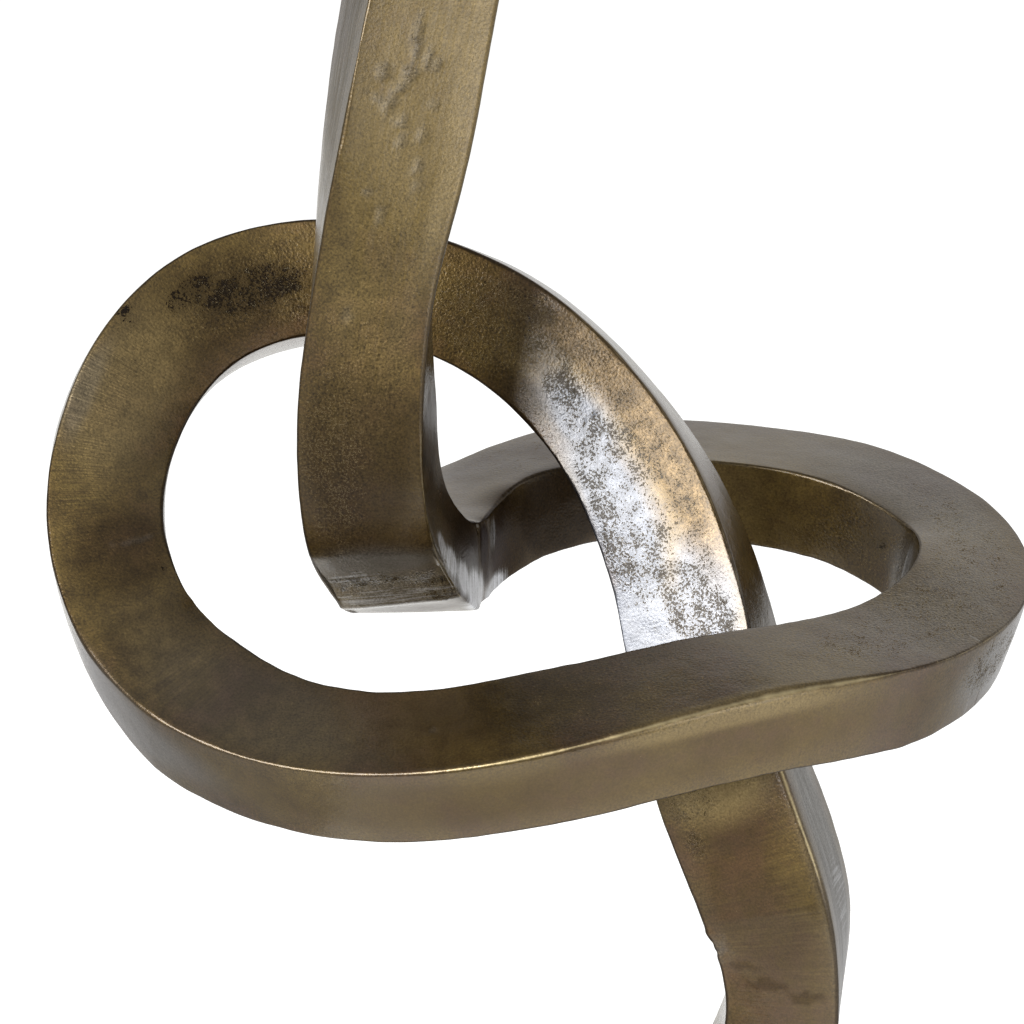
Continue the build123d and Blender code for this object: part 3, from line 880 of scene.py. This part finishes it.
def slab(name, low, high, corner, layers):
    """A plate with rounded corners, from layers of (inset, height) up its side."""
    made = bpy.data.meshes.new(name)
    shape = bmesh.new()
    loops = []
    for inset, height in layers:
        radius = max(corner - inset, 0.0005)
        ring = []
        for turn, (x, y) in enumerate(((high.x, high.y), (low.x, high.y), (low.x, low.y), (high.x, low.y))):
            centre = Vector((x - math.copysign(inset + radius, x), y - math.copysign(inset + radius, y), height))
            for step in range(CORNER_STEPS + 1):
                angle = math.radians(90 * (turn + step / CORNER_STEPS))
                ring.append(shape.verts.new(centre + Vector((math.cos(angle), math.sin(angle), 0)) * radius))
        loops.append(ring)
    for lower, upper in zip(loops[:-1], loops[1:]):
        for place in range(len(lower)):
            following = (place + 1) % len(lower)
            shape.faces.new((lower[place], lower[following], upper[following], upper[place]))
    shape.faces.new(loops[0][::-1])
    shape.faces.new(loops[-1])
    shape.to_mesh(made)
    shape.free()
    made.shade_smooth()
    made.set_sharp_from_angle(angle=SLAB_CREASE)
    for kind in BandSkin.kinds:
        made.attributes.new(kind, "FLOAT", "POINT")
    layer = made.uv_layers.new(name="band")
    for loop, spot in zip(made.loops, layer.data):
        spot.uv = made.vertices[loop.vertex_index].co.xy
    piece = bpy.data.objects.new(name, made)
    bpy.context.scene.collection.objects.link(piece)
    return piece


class KNOT_OT_castings(bpy.types.Operator):
    """Build the ten castings of the band"""

    bl_idname = "knot.castings"
    bl_label = "Band castings"

    def execute(self, context):
        sizes = context.scene.knot_band
        skin = BandSkin(sizes)
        material = cast_brass_material("sand_cast_metal_aged_brass_lacquer", context.scene.knot_colours)
        places = list(JOINTS.values())
        line = skin.line
        for order, name in enumerate(CASTINGS):
            first, last = order == 0, order == len(CASTINGS) - 1
            start = 0.0 if first else line.distance(places[order - 1])
            end = line.length[-1] if last else line.distance(places[order])
            from_here = start + (sizes.end_bevel if first else sizes.weld_width / 2)
            to_here = end if last else end - sizes.weld_width / 2
            rings = max(3, round((to_here - from_here) / sizes.mesh_step))
            share = np.linspace(0, 1, rings + 1)[:, None]
            ends = np.full(skin.section.count, to_here)
            if last:
                ends = self.level_ends(skin, from_here, to_here)
            distance = from_here + share * (ends - from_here)[None, :]
            piece = skin.piece(f"{name}_casting", distance, start, None if last else end, bevel=first)
            dress(piece, material, name)
        return {"FINISHED"}

    def level_ends(self, skin, start, end):
        """Where each line along the foot comes down to the base."""
        tries = np.linspace(start, end, FOOT_SAMPLES)[:, None] + np.zeros(skin.section.count)
        heights = skin.surface(tries)[0][..., 2]
        return np.array([
            np.interp(-BASE_TOP, -heights[:, column], tries[:, column]) for column in range(skin.section.count)
        ])


class KNOT_OT_welds(bpy.types.Operator):
    """Build the dressed welds between the castings"""

    bl_idname = "knot.welds"
    bl_label = "Dressed welds"

    def execute(self, context):
        sizes = context.scene.knot_band
        skin = BandSkin(sizes)
        material = cast_brass_material("dressed_weld_aged_brass_lacquer", context.scene.knot_colours)
        for name, place in JOINTS.items():
            middle = skin.line.distance(place)
            rings = max(4, round(sizes.weld_width / sizes.mesh_step))
            distance = np.linspace(middle - sizes.weld_width / 2, middle + sizes.weld_width / 2, rings + 1)[:, None]
            distance = distance + np.zeros(skin.section.count)
            piece = skin.piece(f"{name}_weld_seam", distance, None, middle, ring=True)
            dress(piece, material, f"{name}_weld")
        return {"FINISHED"}


class KNOT_OT_pins(bpy.types.Operator):
    """Finish the dowel pins inside the joints"""

    bl_idname = "knot.pins"
    bl_label = "Dowel pins"

    def execute(self, context):
        material = steel_material(context.scene.knot_colours)
        for name in JOINTS:
            finish_node(f"{name}_pins", material)
        return {"FINISHED"}


class KNOT_OT_base(bpy.types.Operator):
    """Build the base plate and the felt under it"""

    bl_idname = "knot.base"
    bl_label = "Base plate and felt"

    def execute(self, context):
        colours = context.scene.knot_colours
        corner, edge = 0.008, 0.003
        low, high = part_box("base_plate")
        turns = [math.radians(angle) for angle in range(0, 91, 15)]
        soft = [(edge * (1 - math.cos(turn)), high.z - edge * (1 - math.sin(turn))) for turn in turns]
        layers = [(0.0008, low.z), (0.0002, low.z + 0.0003), (0.0, low.z + 0.0009)] + soft
        plate = slab("base_plate_casting", low, high, corner, layers)
        dress(plate, cast_brass_material("cast_iron_aged_brass_lacquer", colours), "base_plate")
        low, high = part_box("felt_sheet")
        layers = [(0.0004, low.z), (0.0, low.z + 0.0005), (0.0, high.z - 0.0004), (0.0003, high.z)]
        felt = slab("felt_sheet_pad", low, high, corner, layers)
        dress(felt, felt_material(colours), "felt_sheet")
        return {"FINISHED"}


class KNOT_OT_fasteners(bpy.types.Operator):
    """Finish the screws and washers that hold the base"""

    bl_idname = "knot.fasteners"
    bl_label = "Screws and washers"

    def execute(self, context):
        material = steel_material(context.scene.knot_colours)
        for name in ("base_screws", "base_washers"):
            finish_node(name, material)
        return {"FINISHED"}


class KNOT_OT_stage(bpy.types.Operator):
    """Set the floor, the light and the camera"""

    bl_idname = "knot.stage"
    bl_label = "Studio"

    def execute(self, context):
        scene = context.scene
        stage = scene.knot_stage
        scene.view_settings.view_transform = "Standard"
        self.floor(scene)
        self.world(scene)
        self.dim_room(scene, stage)
        self.lights(scene, stage)
        self.camera(scene, stage)
        return {"FINISHED"}

    def seen(self, tree):
        """1 for what the camera sees, straight or in a reflection."""
        rays = add_node(tree, "ShaderNodeLightPath").node.outputs
        seen = rays["Is Camera Ray"]
        for ray in ("Is Glossy Ray", "Is Transmission Ray"):
            seen = add_node(tree, "ShaderNodeMath", {"operation": "MAXIMUM"}, {0: seen, 1: rays[ray]})
        return seen

    def card(self, scene, name, corners, material):
        """A flat card of the stage."""
        made = bpy.data.meshes.new(name)
        made.from_pydata(corners, [], [range(len(corners))])
        made.materials.append(material)
        card = bpy.data.objects.new(name, made)
        scene.collection.objects.link(card)
        return card

    def floor(self, scene):
        """A wide pale paper floor that reads white and keeps the shadow."""
        material, tree, shader = new_material("matt_white_paper")
        place = add_node(tree, "ShaderNodeTexCoord", output="Object")
        fibre = add_node(tree, "ShaderNodeTexNoise", inputs={"Vector": place, "Scale": per_metre(0.6), "Detail": 3.0})
        bump = add_node(tree, "ShaderNodeBump", inputs={"Height": fibre, "Distance": 0.00002})
        lift = add_node(tree, "ShaderNodeMath", {"operation": "MULTIPLY"}, {0: self.seen(tree), 1: 0.35})
        set_inputs(shader, {
            "Base Color": scene.knot_colours.floor, "Roughness": 0.95, "Normal": bump,
            "Emission Color": (1, 1, 1, 1), "Emission Strength": lift})
        reach = 12.0
        corners = [(-reach, -reach, 0), (reach, -reach, 0), (reach, reach, 0), (-reach, reach, 0)]
        self.card(scene, "floor", corners, material)

    def world(self, scene):
        """A white studio all round."""
        world = bpy.data.worlds.new("white_studio")
        scene.world = world
        world.use_nodes = True
        tree = world.node_tree
        tree.nodes.clear()
        level = add_node(tree, "ShaderNodeMapRange", inputs={"Value": self.seen(tree), "To Min": 0.75, "To Max": 1.0})
        sky = add_node(tree, "ShaderNodeBackground", inputs={"Color": (1, 1, 1, 1), "Strength": level})
        add_node(tree, "ShaderNodeOutputWorld", inputs={"Surface": sky})

    def dim_room(self, scene, stage):
        """Grey cards round the object, each with its own grey, which only its reflections show."""
        top, lift = 2.0, 0.002
        cards = {
            "dim_ceiling": (1.0, [(-4, -3, top), (4, -3, top), (4, 1.4, top), (-4, 1.4, top)]),
            "dim_front": (1.0, [(-4, -3, 0.0), (4, -3, 0.0), (4, -3, top), (-4, -3, top)]),
            "dim_left": (1.0, [(-2.4, -3, 0.0), (-2.4, 2.4, 0.0), (-2.4, 2.4, top), (-2.4, -3, top)]),
            "dim_floor": (1.0, [(-2.4, -3, lift), (0.3, -3, lift), (0.3, -0.3, lift), (-2.4, -0.3, lift)]),
            "dim_floor_left": (1.8, [
                (-1.2, -0.3, lift), (-0.15, -0.3, lift), (-0.15, 0.6, lift), (-1.2, 0.6, lift)]),
            "dim_floor_right": (2.0, [
                (0.25, 0.0, lift), (1.3, 0.0, lift), (1.3, 1.7, lift), (-0.05, 1.7, lift), (-0.05, 0.7, lift)]),
            "dim_back_left": (1.0, [(-1.55, 2.8, 0.0), (-0.3, 3.0, 0.0), (-0.3, 3.0, 1.0), (-1.55, 2.8, 1.0)]),
        }
        for name, (level, corners) in cards.items():
            material, _, shader = new_material(f"{name}_grey_cloth")
            set_inputs(shader, {
                "Base Color": (0, 0, 0, 1), "Emission Color": (0.98, 0.98, 0.99, 1),
                "Emission Strength": level * stage.room_grey})
            card = self.card(scene, name, corners, material)
            card.visible_camera = False
            card.visible_diffuse = False
            card.visible_shadow = False

    def lights(self, scene, stage):
        """One large soft light at the front left and a weaker one at the right."""
        aim = Vector((0, 0, 0.25))
        right_share = 0.043
        rows = (
            ("key_softbox", (-0.97, -1.17, 0.83), 1.16, 0.74, stage.key_power),
            ("right_softbox", (0.85, -0.95, 0.25), 0.6, 0.44, right_share * stage.key_power),
        )
        for name, place, wide, tall, power in rows:
            lamp = bpy.data.lights.new(name, "AREA")
            lamp.shape = "RECTANGLE"
            lamp.size, lamp.size_y = wide, tall
            lamp.energy = power
            light = bpy.data.objects.new(name, lamp)
            light.location = place
            light.rotation_euler = (aim - Vector(place)).to_track_quat("-Z", "Y").to_euler()
            light.visible_camera = False
            scene.collection.objects.link(light)

    def camera(self, scene, stage):
        """The camera in front of the knot, a little above it."""
        target = Vector((-0.010, 0.014, 0.272))
        lens = bpy.data.cameras.new("camera")
        lens.sensor_width = 36.0
        lens.lens = 133.35
        lens.clip_start = 0.05
        camera = bpy.data.objects.new("camera", lens)
        angle = stage.camera_height
        camera.location = target + stage.camera_distance * Vector((0, -math.cos(angle), math.sin(angle)))
        camera.rotation_euler = (math.pi / 2 - angle, 0, 0)
        scene.collection.objects.link(camera)
        scene.camera = camera


class KNOT_PT_panel(bpy.types.Panel):
    """Lists the sizes, the finishes and the pieces of the sculpture"""

    bl_idname = "KNOT_PT_panel"
    bl_label = "Metal knot"
    bl_space_type = "VIEW_3D"
    bl_region_type = "UI"
    bl_category = "Knot"

    def draw(self, context):
        scene = context.scene
        for group in (scene.knot_band, scene.knot_colours, scene.knot_stage):
            box = self.layout.box()
            for name in group.bl_rna.properties.keys():
                if name not in ("rna_type", "name"):
                    box.prop(group, name)
        for operator in OPERATORS:
            self.layout.operator(operator.bl_idname)


GROUPS = {"knot_band": KnotBandSizes, "knot_colours": KnotFinishColours, "knot_stage": KnotStageSizes}
OPERATORS = (
    KNOT_OT_castings, KNOT_OT_welds, KNOT_OT_pins, KNOT_OT_base, KNOT_OT_fasteners, KNOT_OT_stage,
)


def register():
    for name, group in GROUPS.items():
        bpy.utils.register_class(group)
        setattr(bpy.types.Scene, name, bpy.props.PointerProperty(type=group))
    for kind in (*OPERATORS, KNOT_PT_panel):
        bpy.utils.register_class(kind)


def unregister():
    for kind in (KNOT_PT_panel, *reversed(OPERATORS)):
        bpy.utils.unregister_class(kind)
    for name, group in GROUPS.items():
        delattr(bpy.types.Scene, name)
        bpy.utils.unregister_class(group)


def main():
    register()
    bpy.ops.knot.castings()
    bpy.ops.knot.welds()
    bpy.ops.knot.pins()
    bpy.ops.knot.base()
    bpy.ops.knot.fasteners()
    bpy.ops.knot.stage()
    bpy.context.view_layer.update()


if __name__ == "__main__":
    main()
